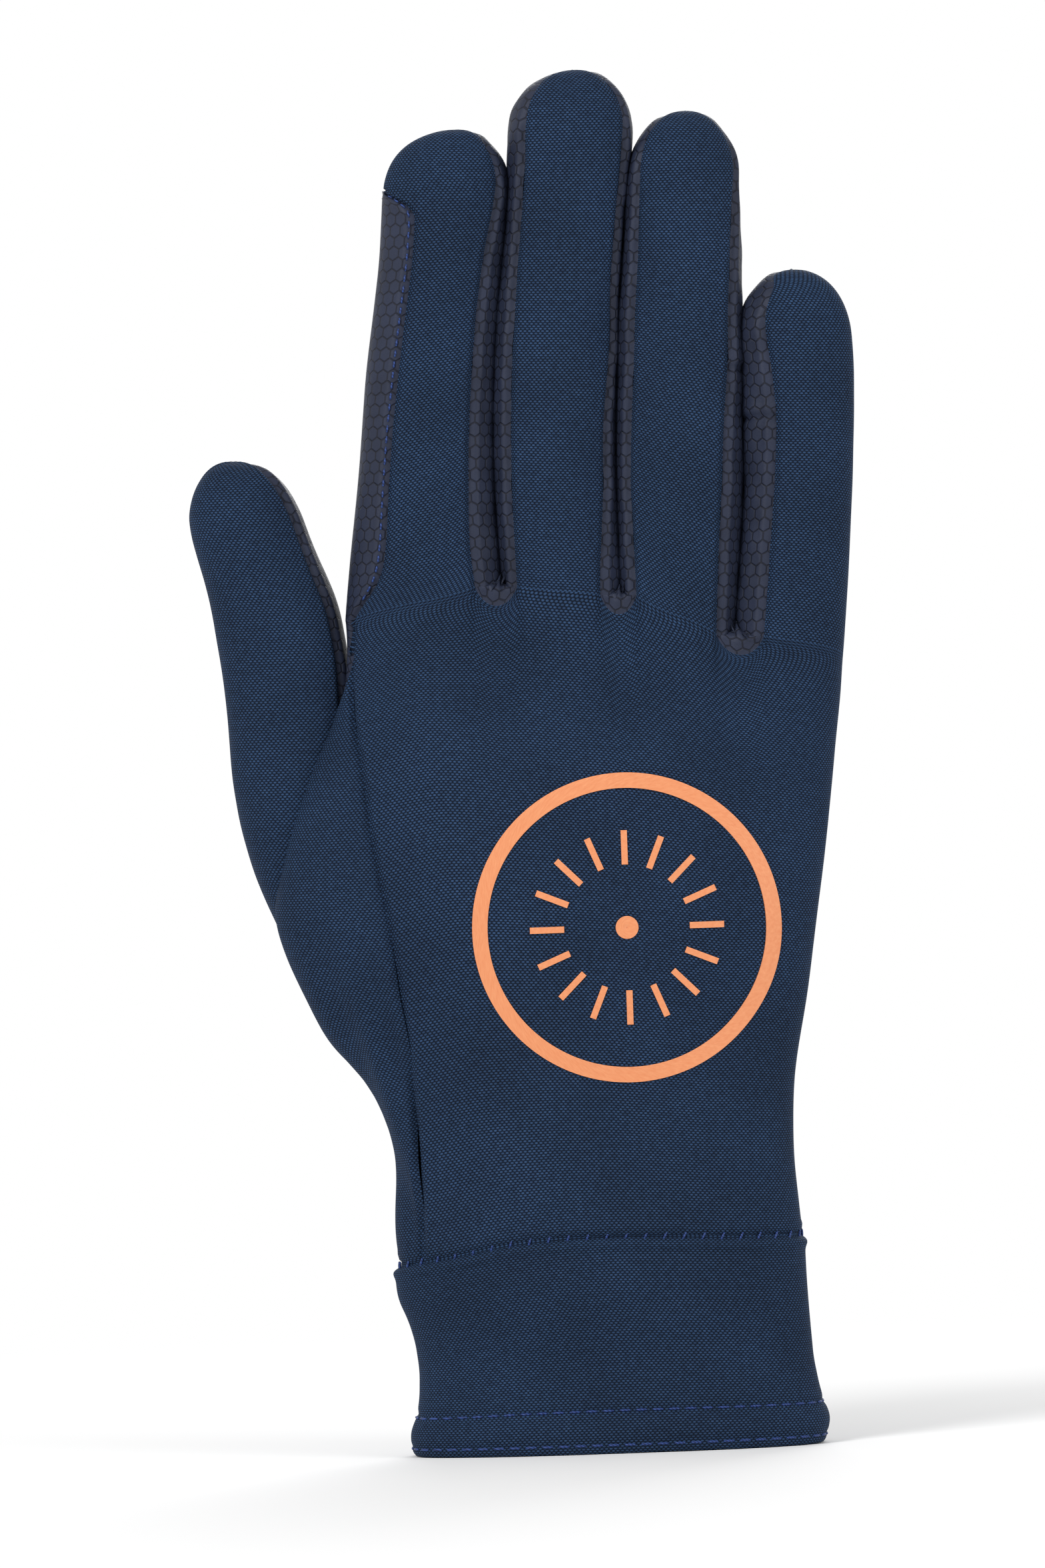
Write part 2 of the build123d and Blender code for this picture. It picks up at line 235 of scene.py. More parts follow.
def panel(name, p, material, wall=CLOTH, shift=(0, 0)):
    """Mesh of a grid of points in mm, with a UV map in mm across and along the cloth and a wall inside. Its
    border is a sharp edge, so that the shading runs straight on into a neighbour. The wall is a Solidify
    modifier's, on the inner side."""
    rows, cols = p.shape[:2]
    across = measured(p, 1)
    middle = cols // 2
    u = across - across[:, middle:middle + 1] + shift[0]
    v = np.repeat(measured(p, 0)[:, middle:middle + 1], cols, axis=1) + shift[1]
    i, j = np.meshgrid(np.arange(rows - 1), np.arange(cols - 1), indexing="ij")
    a = (i * cols + j).ravel()
    faces = np.stack([a, a + 1, a + cols + 1, a + cols], axis=1)
    mesh = bpy.data.meshes.new(name)
    where = (p + np.array([hem_x, 0, 0])) * MM
    mesh.from_pydata(where.reshape(-1, 3).tolist(), [], faces.tolist())
    uv = np.stack([u.ravel(), v.ravel()], axis=1)[faces.ravel()]
    mesh.uv_layers.new(name="cloth").data.foreach_set("uv", uv.astype(np.float32).ravel())
    mesh.shade_smooth()
    form = bmesh.new()
    form.from_mesh(mesh)
    bmesh.ops.remove_doubles(form, verts=form.verts, dist=2e-6)
    for edge in form.edges:
        edge.smooth = not edge.is_boundary
    form.to_mesh(mesh)
    form.free()
    mesh.materials.append(material)
    obj = new_object(name, mesh)
    solid = obj.modifiers.new("wall", "SOLIDIFY")
    solid.thickness, solid.offset = wall * MM, -1
    return obj


def cells(tree, pitch_across, pitch_along):
    """Staggered pattern on the cloth's UV map: distance from the nearest centre, and from its hexagon's
    middle lines, both in pitches. Two square patterns half a step apart are folded together."""
    uv = add(tree, "ShaderNodeUVMap", uv_map="cloth")
    scaled = add(tree, "ShaderNodeVectorMath",
                 {0: uv.outputs[0], 1: (1 / pitch_across, 1 / pitch_along, 0)}, operation="MULTIPLY")
    root3 = 3 ** 0.5
    high, low = (0.5, root3 / 2, 0.5), (-0.5, -root3 / 2, -0.5)
    folded = []
    for offset in ((0, 0, 0), (0.5, root3 / 2, 0)):
        moved = add(tree, "ShaderNodeVectorMath", {0: scaled.outputs[0], 1: offset}, operation="ADD")
        wrap = add(tree, "ShaderNodeVectorMath", {0: moved.outputs[0], 1: high, 2: low}, operation="WRAP")
        size = add(tree, "ShaderNodeVectorMath", {0: wrap.outputs[0]}, operation="LENGTH")
        folded.append((wrap, size))
    nearer = add(tree, "ShaderNodeMath", {0: folded[0][1].outputs["Value"], 1: folded[1][1].outputs["Value"]},
                 operation="LESS_THAN")
    pick = add(tree, "ShaderNodeMix", {0: nearer.outputs[0], 4: folded[1][0].outputs[0],
                                       5: folded[0][0].outputs[0]}, data_type="VECTOR")
    pick = pick.outputs[1]
    radius = add(tree, "ShaderNodeVectorMath", {0: pick}, operation="LENGTH").outputs["Value"]
    flat = add(tree, "ShaderNodeVectorMath", {0: pick}, operation="ABSOLUTE").outputs[0]
    slant = add(tree, "ShaderNodeVectorMath", {0: flat, 1: (0.5, root3 / 2, 0)},
                operation="DOT_PRODUCT").outputs["Value"]
    upright = add(tree, "ShaderNodeSeparateXYZ", {0: flat}).outputs[0]
    hexagon = add(tree, "ShaderNodeMath", {0: slant, 1: upright}, operation="MAXIMUM").outputs[0]
    return uv, radius, hexagon


# Navy polyester jersey with a brushed inside: each loop shows as a small lighter blue point between dark
# gaps, matt with a faint sheen at grazing angles.
knit = bpy.data.materials.new("navy polyester jersey")
tree = emptied(knit)
uv, radius, _ = cells(tree, knit_wale, knit_course)
loop = add(tree, "ShaderNodeMapRange", {"Value": radius, "From Min": 0.52, "From Max": 0.12},
           interpolation_type="SMOOTHSTEP").outputs[0]
uneven = add(tree, "ShaderNodeTexNoise", {"Vector": uv.outputs[0], "Scale": 0.9, "Detail": 3.0})
cloudy = add(tree, "ShaderNodeTexNoise", {"Vector": uv.outputs[0], "Scale": 0.045, "Detail": 2.0})
share = add(tree, "ShaderNodeMapRange", {"Value": uneven.outputs[0], "From Min": 0.3, "From Max": 0.7,
                                         "To Min": 0.55, "To Max": 1.0})
share = add(tree, "ShaderNodeMath", {0: share.outputs[0], 1: loop}, operation="MULTIPLY").outputs[0]
yarn = add(tree, "ShaderNodeMix", {0: share, 6: srgb("060d1a"), 7: srgb("334c6e")}, data_type="RGBA")
tone = add(tree, "ShaderNodeMapRange", {"Value": cloudy.outputs[0], "From Min": 0.35, "From Max": 0.65,
                                        "To Min": 0.85, "To Max": 1.1})
yarn = add(tree, "ShaderNodeVectorMath", {0: yarn.outputs[2], "Scale": tone.outputs[0]}, operation="SCALE")
bump = add(tree, "ShaderNodeBump", {"Height": share, "Strength": 0.55, "Distance": 0.00025})
cloth = add(tree, "ShaderNodeBsdfPrincipled", {
    "Base Color": yarn.outputs[0], "Roughness": 0.85, "Normal": bump.outputs[0], "Specular IOR Level": 0.12,
    "Sheen Weight": 0.03, "Sheen Roughness": 0.5, "Sheen Tint": srgb("6f86ad")})
add(tree, "ShaderNodeOutputMaterial", {"Surface": cloth.outputs[0]})

# Bonded polyester sewing thread: smooth and a little shiny, a clearer blue than the knit.
thread = bpy.data.materials.new("polyester sewing thread")
tree = emptied(thread)
place = add(tree, "ShaderNodeTexCoord")
twist = add(tree, "ShaderNodeTexWave", {"Vector": place.outputs["Object"], "Scale": 900.0, "Distortion": 1.0},
            bands_direction="DIAGONAL")
ply = add(tree, "ShaderNodeMix", {0: twist.outputs[1], 6: srgb("11204a"), 7: srgb("28437f")},
          data_type="RGBA")
fibre = add(tree, "ShaderNodeBsdfPrincipled", {"Base Color": ply.outputs[2], "Roughness": 0.5,
                                                "Specular IOR Level": 0.3})
add(tree, "ShaderNodeOutputMaterial", {"Surface": fibre.outputs[0]})


def stitches(name, route, normals, pitch, length, radius, turned=0.0):
    """A row of short threads, each a slim bead: a sphere's grid stretched along the route at every pitch.
    turned swings each thread from the route towards the surface's other direction, in degrees."""
    run = np.concatenate([[0], np.cumsum(np.linalg.norm(np.diff(route, axis=0), axis=1))])
    at = np.arange(pitch / 2, run[-1], pitch)

    def read(values, where):
        return np.stack([np.interp(where, run, values[:, k]) for k in range(3)], axis=1)

    middle, normal = read(route, at), read(normals, at)
    normal /= np.linalg.norm(normal, axis=1, keepdims=True)
    step = 0.2  # mm each way in which the route's direction is taken
    ahead = read(route, at + step) - read(route, at - step)
    ahead /= np.linalg.norm(ahead, axis=1, keepdims=True)
    side = np.cross(normal, ahead)
    swing = np.radians(turned)
    ahead, side = np.cos(swing) * ahead + np.sin(swing) * side, np.cos(swing) * side - np.sin(swing) * ahead
    belt, rings = 7, 5
    a = np.linspace(0, 2 * np.pi, belt, endpoint=False)
    b = np.linspace(0, np.pi, rings)
    girth = np.sin(b) ** 0.6  # fuller than a ball's near the ends
    ball = np.stack([np.outer(-np.cos(b), np.ones(belt)), np.outer(girth, np.cos(a)),
                     np.outer(girth, np.sin(a))], axis=2).reshape(-1, 3)
    p = (middle[:, None] + ball[None, :, :1] * length / 2 * ahead[:, None]
         + ball[None, :, 1:2] * radius * side[:, None] + ball[None, :, 2:] * radius * normal[:, None])
    i, j = np.meshgrid(np.arange(rings - 1), np.arange(belt), indexing="ij")
    k = (j + 1) % belt
    row = i * belt
    quad = np.stack([row + j, row + k, row + belt + k, row + belt + j], axis=2).reshape(-1, 4)
    faces = (quad[None] + (np.arange(len(at)) * belt * rings)[:, None, None]).reshape(-1, 4)
    mesh = bpy.data.meshes.new(name)
    mesh.from_pydata(((p + np.array([hem_x, 0, 0])) * MM).reshape(-1, 3).tolist(), [], faces.tolist())
    form = bmesh.new()
    form.from_mesh(mesh)
    bmesh.ops.remove_doubles(form, verts=form.verts, dist=1e-6)
    bmesh.ops.recalc_face_normals(form, faces=form.faces)
    form.to_mesh(mesh)
    form.free()
    mesh.shade_smooth()
    mesh.materials.append(thread)
    obj = new_object(name, mesh)
    return obj


cuff_left = ((0, -37.6), (3, -37.5), (6, -36.6), (10, -35.7), (15, -35.4), (20, -35.9), (24, -37.0),
             (28, -38.8), (32, -39.2), (37, -38.6))
cuff_right = ((0, 35.8), (5, 36.0), (10, 34.6), (15, 33.8), (20, 33.6), (30, 33.2), (37, 33.0))
cuff_depth = ((0, 15.2), (8, 14.2), (16, 13.6), (26, 14.6), (37, 15.4))
seam_height = ((-40, 34.0), (-30, 35.8), (-20, 37.7), (-10, 38.6), (0, 38.8), (10, 38.4), (20, 37.8),
               (34, 37.5))  # height of the cuff seam at a distance across
BOX = 2.5  # how square the sections of hand and cuff are; 2 is an ellipse


def cuff_point(angle, z, inset=0.0):
    """A rounded-box ring at each height: left edge at angle 0, back at 90, right edge at 180 degrees."""
    lo, hi = line(z, cuff_left, 1.5), line(z, cuff_right, 1.5)
    c, s = np.cos(np.radians(angle)), np.sin(np.radians(angle))
    half = (hi - lo) / 2 - inset
    depth = line(z, cuff_depth) - inset
    x, y = (lo + hi) / 2 - half * power(c, 2 / BOX), -depth * power(s, 2 / BOX)
    return np.stack(np.broadcast_arrays(x, y, z), axis=-1)


CUFF_TOP, CUFF_FOOT, CUFF_ROWS = 37.0, 0.3, 90  # heights of the seam and of the fold, rows of the grid
hem_rows = (1.6, 7.4)  # heights of the two rows of stitches
angle = np.linspace(-90, 270, 241)[None, :]
t = np.linspace(0, 1, CUFF_ROWS)[:, None]
cuff_seam = line(cuff_point(angle, np.full_like(angle, CUFF_TOP))[..., 0], seam_height)
z = CUFF_FOOT + (cuff_seam - 0.2 - CUFF_FOOT) * t
plain_cuff = cuff_point(angle, z)
p = wavy(plain_cuff, 0.45, 22, 3)
for height in hem_rows:  # each row of stitches draws a groove, and the hem swells between the two
    p -= outward(p) * (0.30 * np.exp(-((z - height) / 0.7) ** 2))[..., None]
p += outward(p) * (0.35 * np.exp(-((z - 4.4) / 1.9) ** 2))[..., None]
p = sewn(p, ("top",), groove=1.3, lip=0.45, width=0.9)
p = p - outward(p) * (0.7 * np.exp(-(t * CUFF_TOP / 0.5) ** 2))[..., None]  # the fold at the foot is round
cuff = panel("cuff_tube", p, knit)
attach(cuff, "hand")
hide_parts("cuff_band")
inner_z = np.linspace(0.9, 8.2, 10)[:, None] + 0 * angle
gathered = 1.35 + 0.1 * np.sin(np.radians(7 * angle))  # mm inside the cuff's face
facing = panel("cuff_turned_hem", cuff_point(angle, inner_z, gathered), knit, wall=0.9)
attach(facing, "hand")
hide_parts("cuff_hem_facing")
for name, height, node in (("hem_stitches_lower", hem_rows[0], "hem_thread_lower"),
                           ("hem_stitches_upper", hem_rows[1], "hem_thread_upper")):
    k = int(round((height - CUFF_FOOT) / (p[-1, 0, 2] - CUFF_FOOT) * (CUFF_ROWS - 1)))
    sewing = stitches(name, p[k] + 0.06 * outward(p)[k], outward(p)[k], 2.9, 2.2, 0.24)
    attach(sewing, "hand")
    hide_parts(node)
allowance_z = cuff_seam - 4.0 + np.linspace(0, 9, 10)[:, None]
allowance = panel("cuff_seam_allowance", cuff_point(angle, allowance_z, 0.8), knit, wall=0.8)
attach(allowance, "hand")
cuff_normals = outward(plain_cuff)[-4]
sewing = stitches("cuff_seam_stitches", p[-2] + 0.55 * cuff_normals, cuff_normals, 3.4, 1.9, 0.22, turned=65)
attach(sewing, "hand")
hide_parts("cuff_seam_thread")

# Fingers: each back is knit, the palm and the strips between fingers (fourchettes) are synthetic leather.
# A finger is a tube of rounded-box sections; its panels are stretches of angle round the tube, with the
# seams at measured distances from the middle of the hem.
FINGER_BOX = 2.3
PALM_SEAM = 36.0  # degrees past the finger's side at which the palm panel is sewn on
BACK_CLOSES, PALM_CLOSES = 0.75, 0.4  # share of the section left where a seam starts to run to the tip's side
limbs = {
    "index": dict(
        left=((140, -44.6), (147.5, -44.1), (150, -43.8), (160, -42.7), (170, -41.5), (180, -40.3),
              (190, -39.0), (200, -37.4), (210, -36.0), (224, -34.7)),
        right=((145, -16.6), (155, -17.4), (160, -17.6), (180, -17.8), (200, -16.5), (215, -13.8),
               (225, -12.8)),
        seam_left=((147.5, -43.6), (152, -39.5), (155, -37.5), (160, -36.6), (170, -35.8), (180, -34.8),
                   (190, -33.4), (200, -31.9), (210, -30.3), (218, -29.5), (225, -30.0)),
        seam_right=((150, -20.6), (160, -21.6), (170, -21.3), (180, -20.8), (190, -20.0), (200, -19.0),
                    (210, -17.3), (220, -14.8), (225, -14.2)),
        depth=((150, 9.4), (200, 8.3), (225, 7.8)), tip=(-22.3, 233.3), shoulder=221.0, root=(147.6, 152.6)),
    "middle": dict(
        left=((145, -15.0), (160, -15.8), (170, -16.4), (180, -16.0), (190, -15.6), (200, -14.8),
              (210, -13.8), (220, -12.8), (230, -11.7), (235, -11.0)),
        right=((145, 3.6), (160, 4.0), (180, 4.3), (190, 5.0), (200, 5.2), (210, 6.3), (220, 7.3), (230, 9.0),
               (235, 9.4)),
        seam_left=((150, -14.0), (160, -14.1), (170, -14.3), (180, -14.1), (190, -13.6), (200, -12.8),
                   (210, -12.0), (225, -10.2), (235, -9.5)),
        seam_right=((150, 1.2), (155, 1.3), (160, 1.8), (170, 2.7), (180, 3.0), (195, 4.6), (205, 5.0),
                    (215, 6.2), (225, 7.4), (235, 8.3)),
        depth=((150, 8.8), (200, 8.3), (235, 7.8)), tip=(-0.9, 243.2), shoulder=231.0, root=(152.4, 150.4)),
    "ring": dict(
        left=((140, 5.4), (160, 5.0), (170, 4.6), (180, 5.0), (190, 5.6), (200, 6.2), (210, 7.5), (220, 8.1),
              (230, 9.3)),
        right=((140, 23.0), (150, 23.8), (160, 24.8), (170, 25.6), (180, 26.0), (190, 27.0), (200, 26.9),
               (210, 28.2), (220, 29.1), (225, 28.9)),
        seam_left=((148, 7.0), (160, 6.8), (170, 6.4), (180, 6.9), (190, 7.8), (200, 8.4), (210, 9.2),
                   (220, 9.8), (230, 10.7)),
        seam_right=((140, 21.4), (150, 21.8), (160, 22.4), (170, 23.3), (180, 24.0), (190, 25.0), (200, 25.4),
                    (205, 25.9), (215, 26.8), (225, 27.6)),
        depth=((142, 8.8), (200, 8.2), (230, 7.8)), tip=(18.3, 235.3), shoulder=223.0, root=(150.2, 142.6)),
    "little": dict(
        left=((135, 25.2), (143, 25.6), (150, 26.2), (160, 27.5), (170, 28.3), (180, 28.0), (200, 27.5)),
        right=((120, 41.3), (130, 42.6), (140, 43.7), (150, 44.5), (160, 45.3), (170, 46.2), (180, 46.7),
               (190, 46.9), (200, 46.5)),
        seam_left=((140, 28.8), (145, 29.5), (150, 30.0), (160, 31.0), (170, 32.1), (180, 32.8), (188, 32.4),
                   (195, 31.4), (200, 31.3), (204, 32.2)),
        seam_right=None,
        depth=((138, 8.6), (180, 7.9), (200, 7.5)), tip=(36.6, 206.8), shoulder=194.5, root=(142.2, 137.0)),
}
PRESS = 0.35  # mm by which each finger's side is pressed past the middle of the gap
REIN_CORNER = (217.8, 223.2)  # heights where the rein panel's rounded top corner starts and ends
ROWS, CAP_ROWS = 96, 26  # rows of a panel's grid below the rounded end, and over it
BACK_COLUMNS, PALM_COLUMNS, STRIP_COLUMNS = 56, 44, 22
ROUND = 2.15  # how full the fingertip is; 2 is a half ellipse


def limb_point(f, angle, z, cap=None):
    """A point of the tube at an angle in degrees and a height; cap is the share of the section left in the
    rounded end, where the middle line drifts to the tip."""
    lo, hi = line(z, f["left"]), line(z, f["right"])
    c, s = np.cos(np.radians(angle)), np.sin(np.radians(angle))
    cap = np.ones_like(z) if cap is None else cap
    shoulder_x = (line(f["shoulder"], f["left"]) + line(f["shoulder"], f["right"])) / 2
    drift = smooth(1 - cap) * (f["tip"][0] - shoulder_x)
    x = (lo + hi) / 2 + drift - cap * (hi - lo) / 2 * power(c, 2 / FINGER_BOX)
    y = f.get("y", 0.0) - cap * line(z, f["depth"]) * power(s, 2 / FINGER_BOX)
    return np.stack([x, y, z + 0 * x], axis=-1)


def seam_angle(f, z, knots, side):
    """Angle at which the tube's back passes the seam's distance from the hem's middle."""
    lo, hi = line(z, f["left"]), line(z, f["right"])
    share = np.clip(((lo + hi) / 2 - line(z, knots)) / ((hi - lo) / 2) * side, 0, 1)
    return np.degrees(np.arccos(share ** (FINGER_BOX / 2)))


def limb_panel(f, low_angle, high_angle, columns, roots, corner=None):
    """Grid between two seams: rows climb from the root line to the shoulder and over the rounded end. corner
    is an angle added to the low seam that dies out over the first columns."""
    u = packed_ends(columns)[None, :]
    root = roots[0] + (roots[1] - roots[0]) * u
    t = np.linspace(0, 1, ROWS)[:, None]
    bend = np.radians(np.linspace(0, 90, CAP_ROWS + 1)[1:])[:, None]
    high = f["tip"][1] - f["shoulder"]
    z = np.concatenate([root + (f["shoulder"] - root) * t,
                        f["shoulder"] + high * np.sin(bend) ** (2 / ROUND) + 0 * u])
    cap = np.concatenate([np.ones_like(t), np.cos(bend) ** (2 / ROUND)]) + 0 * u
    cap[-1] = 0.0
    lower, upper = low_angle(z, cap), high_angle(z, cap)
    extra = 0 if corner is None else corner(z, cap) * (1 - u) ** 5
    return limb_point(f, lower + (upper - lower) * u + extra, z, cap)


def limb_seams(name, f):
    """Seams of a limb as functions of height and share of the section left: angles of the back's and the
    palm's edges. Side strips narrow to nothing at the tip."""
    def narrowing(cap):
        return smooth(cap / BACK_CLOSES)

    def palm_turn(cap):
        return PALM_SEAM * smooth(cap / PALM_CLOSES)

    def back_left(z, cap):
        return seam_angle(f, z, f["seam_left"], 1) * narrowing(cap)

    def corner(z, cap):  # the rein panel ends below the fingertip in a rounded corner, a quarter ellipse
        if name != "index":
            return 0 * z
        t = np.clip((z - REIN_CORNER[0]) / (REIN_CORNER[1] - REIN_CORNER[0]), 0, 1)
        return -(1 - np.sqrt(1 - t ** 2)) * (back_left(z, cap) + palm_turn(cap))

    def back_right(z, cap):
        if f["seam_right"] is None:
            return palm_right(z, cap)
        return 180 - seam_angle(f, z, f["seam_right"], -1) * narrowing(cap)

    def palm_right(z, cap):
        return 180 + palm_turn(cap)

    def palm_left(z, cap):
        return 360 - palm_turn(cap)

    def wrapped(z, cap):
        return 360 + back_left(z, cap) + corner(z, cap)

    return back_left, corner, back_right, palm_right, palm_left, wrapped


# Neighbouring fingers touch along their sides, deep in the dark gap between two strips.
for a, b in zip(list(limbs), list(limbs)[1:]):
    z = np.arange(130.0, min(limbs[a]["tip"][1], limbs[b]["tip"][1]), 5.0)
    between = (line(z, limbs[a]["right"]) + line(z, limbs[b]["left"])) / 2
    limbs[a]["right"] = tuple(zip(z, between + PRESS))
    limbs[b]["left"] = tuple(zip(z, between - PRESS))

grids, plain_grids = {}, {}
for name, f in limbs.items():
    back_left, corner, back_right, palm_right, palm_left, wrapped = limb_seams(name, f)
    lo, hi = f["root"]
    made = {"back": limb_panel(f, back_left, back_right, BACK_COLUMNS, (lo, hi), corner),
            "palm": limb_panel(f, palm_right, palm_left, PALM_COLUMNS, (hi, lo)),
            "left": limb_panel(f, palm_left, wrapped, STRIP_COLUMNS, (lo, lo))}
    if f["seam_right"] is not None:
        made["right"] = limb_panel(f, back_right, palm_right, STRIP_COLUMNS, (hi, hi))
    grids[name], plain_grids[name] = made, dict(made)

# Synthetic leather of the palm and finger sides: PU on a knitted base, pressed with a small raised hexagon
# grain whose grooves are painted darker, as painted shade; satin, greyer than the knit.
HEX_CELL = 2.3  # mm across one hexagon
leather = bpy.data.materials.new("hexagon grain PU leather")
tree = emptied(leather)
uv, _, hexagon = cells(tree, HEX_CELL, HEX_CELL)
pad = add(tree, "ShaderNodeMapRange", {"Value": hexagon, "From Min": 0.49, "From Max": 0.40},
          interpolation_type="SMOOTHSTEP").outputs[0]
grain = add(tree, "ShaderNodeTexNoise", {"Vector": uv.outputs[0], "Scale": 3.0, "Detail": 4.0})
patch = add(tree, "ShaderNodeTexNoise", {"Vector": uv.outputs[0], "Scale": 0.12, "Detail": 2.0})
# Painted shade: the grooves between the hexagons get the darker colour, the raised pads the lighter one.
skin_with_painted_groove_shade = add(tree, "ShaderNodeMix", {0: pad, 6: srgb("10131f"), 7: srgb("22283a")}, data_type="RGBA")
tone = add(tree, "ShaderNodeMapRange", {"Value": patch.outputs[0], "From Min": 0.3, "From Max": 0.7,
                                        "To Min": 0.82, "To Max": 1.12})
skin_with_painted_groove_shade = add(tree, "ShaderNodeVectorMath", {0: skin_with_painted_groove_shade.outputs[2], "Scale": tone.outputs[0]}, operation="SCALE")
height = add(tree, "ShaderNodeMath", {0: grain.outputs[0], 1: 0.25, 2: pad}, operation="MULTIPLY_ADD")
bump = add(tree, "ShaderNodeBump", {"Height": height.outputs[0], "Strength": 0.6, "Distance": 0.00022})
rough = add(tree, "ShaderNodeMapRange", {"Value": grain.outputs[0], "To Min": 0.45, "To Max": 0.68})
coat = add(tree, "ShaderNodeBsdfPrincipled", {
    "Base Color": skin_with_painted_groove_shade.outputs[0], "Roughness": rough.outputs[0], "Normal": bump.outputs[0],
    "Specular IOR Level": 0.22})
add(tree, "ShaderNodeOutputMaterial", {"Surface": coat.outputs[0]})

# Every finger's panels are made in two lengths that meet half way along the lower bone: the base, by the
# knuckle, and the end, by the middle joint.
panel_nodes = {"back": "back", "palm": "palm", "left": "fourchette_left", "right": "fourchette_right"}
only_nodes = {("index", "left"): "rein_panel", ("index", "right"): "fourchette",
              ("little", "left"): "fourchette"}
piece_words = {"back": "knit_back", "palm": "leather_palm", "left": "left_strip", "right": "right_strip"}
cross_seams = {("ring", "right"): 189.5, ("little", "left"): 180.5}  # heights where a strip is pieced
BEND = 9.5  # mm of cloth each side of a hinge


def along_limb(joint):
    """Direction of a limb at a hinge, square to the hinge's axis and in the plane of the hand, upwards."""
    way = Vector((0, -1, 0)).cross(Vector(joints[joint]["axis"])).normalized()
    return -way if way.z < 0 else way


def bend_over(obj, joint, way=None):
    """Bakes obj's transform into its mesh; nothing is turned at the
    joint."""
    way = along_limb(joint) if way is None else way
    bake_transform(obj)


def split_height(name):
    """Half way between a finger's two hinges."""
    return (joints[f"{name}_knuckle"]["pos_m"][2] + joints[f"{name}_middle_joint"]["pos_m"][2]) / 2 / MM


def bend_room(name):
    """mm below each hinge of the stretch around it; at the knuckle, reaching just above the lowest row."""
    knuckle = joints[f"{name}_knuckle"]["pos_m"][2] / MM
    return {"knuckle": knuckle - max(limbs[name]["root"]) - 1.0, "middle_joint": BEND}


for number, (name, made) in enumerate(grids.items()):
    f, room = limbs[name], bend_room(name)
    for side, p in made.items():
        material, slot = (knit, "knit") if side == "back" else (leather, "grip_leather")
        p = wavy(p, 0.28, 18, 11)
        node = only_nodes.get((name, side), panel_nodes[side])
        lip = 0.12 if side == "back" else 0.28
        up_the_tip = (p[..., 2] - f["shoulder"] + 1) / (f["tip"][1] - f["shoulder"])
        tip_share = 1 - 0.75 * smooth(up_the_tip * 1.4)  # seams are shallower over the fingertip
        if side in ("left", "right") and node != "rein_panel":
            p = wavy(p, 0.22, 6, 23, smooth((p[..., 2] - p[0, 0, 2]) / 4))
            above = p[..., 2] - cross_seams.get((name, side), np.inf)
            fall = 0.5 * np.exp(-(above / 0.6) ** 2) - 0.25 * np.exp(-((above - 1.6) / 0.8) ** 2)
            p = p - outward(p) * fall[..., None]
        p = sewn(p, ("left", "right"), groove=0.65, lip=lip, share=tip_share)
        grids[name][side] = p
        k = int(np.argmin(np.abs(p[:ROWS, 0, 2] - split_height(name))))
        if node == "rein_panel":
            p = p[:int(np.argmax(p[:, 0, 2] > REIN_CORNER[1])) + 1]  # it has no width above its corner
            rein_rows, rein_split = p, k
        word = "rein_panel" if node == "rein_panel" else piece_words[side]
        for length, part, joint in (("base", slice(0, k + 1), "knuckle"),
                                    ("end", slice(k, None), "middle_joint")):
            from_root = 0 if length == "base" else measured(p, 0)[k, p.shape[1] // 2]
            piece = panel(f"{name}_{word}_{length}", p[part], material,
                          shift=(number * 7.3, 60 + from_root))
            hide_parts(f"{name}_{node}_{'lower' if length == 'base' else 'upper'}")
            if (name, side, length) == ("index", "left", "base"):
                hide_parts("index_rein_panel_root")
            bend_over(piece, f"{name}_{joint}")

# Rein panel stitching: one row of blue thread close to the panel's edge on the back of the index finger,
# made in two lengths parted where the panel's own are.
inset_column = -3  # counted in from the panel's edge
route, normal = rein_rows[:, inset_column], outward(rein_rows)[:, inset_column]
last = int(np.argmin(np.abs(route[:, 2] - 223.0)))
for name, part, joint, node in (
        ("rein_stitches_base", slice(4, rein_split + 1), "knuckle", "index_rein_thread_lower"),
        ("rein_stitches_end", slice(rein_split, last), "middle_joint", "index_rein_thread_upper")):
    sewing = stitches(name, route[part] + 0.05 * normal[part], normal[part], 1.9, 1.35, 0.2)
    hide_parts(node)
    bend_over(sewing, f"index_{joint}")

# Crotches between the fingers: the strips run together in a short saddle of leather, gathered where it
# turns round the bottom. Each stays on the hand.
DIP = 3.4  # mm the seam dips between two fingers


def crotch_arc(left_row, right_row, count, dip):
    """From a finger's strip to its neighbour's, dipping by a half sine, in steps of x that are half even and
    half those of a circle."""
    a = np.linspace(0, 1, count)[:, None]
    run = 0.5 * a + 0.5 * (1 - np.cos(np.pi * a)) / 2
    p = left_row[None] * (1 - run[..., None]) + right_row[None] * run[..., None]
    p[..., 2] -= dip * np.sin(np.pi * a)
    return p


def crotch_grid(source, a, b):
    """Saddle between fingers a and b: rows run across from strip to strip, the first on the back of the hand
    and the last on the palm; it rises between them."""
    left_row, right_row = source[a]["right"][0], source[b]["left"][0][::-1]
    w = np.linspace(-1, 1, len(left_row))
    return np.swapaxes(crotch_arc(left_row, right_row, 15, DIP * (1 - 1.7 * (1 - w ** 2))), 0, 1)


names = list(limbs)
for a, b in zip(names, names[1:]):
    p = crotch_grid(grids, a, b)
    w = np.linspace(-1, 1, len(p))
    gather = 0.35 * np.sin(np.linspace(0, 5 * np.pi, p.shape[1]))[None, :] * (1 - w[:, None] ** 2)
    p = p + outward(p) * gather[..., None]
    web = panel(f"crotch_{a}_to_{b}", p, leather, shift=(3, 30))
    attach(web, "hand")
    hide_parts(f"crotch_{a}_{b}")

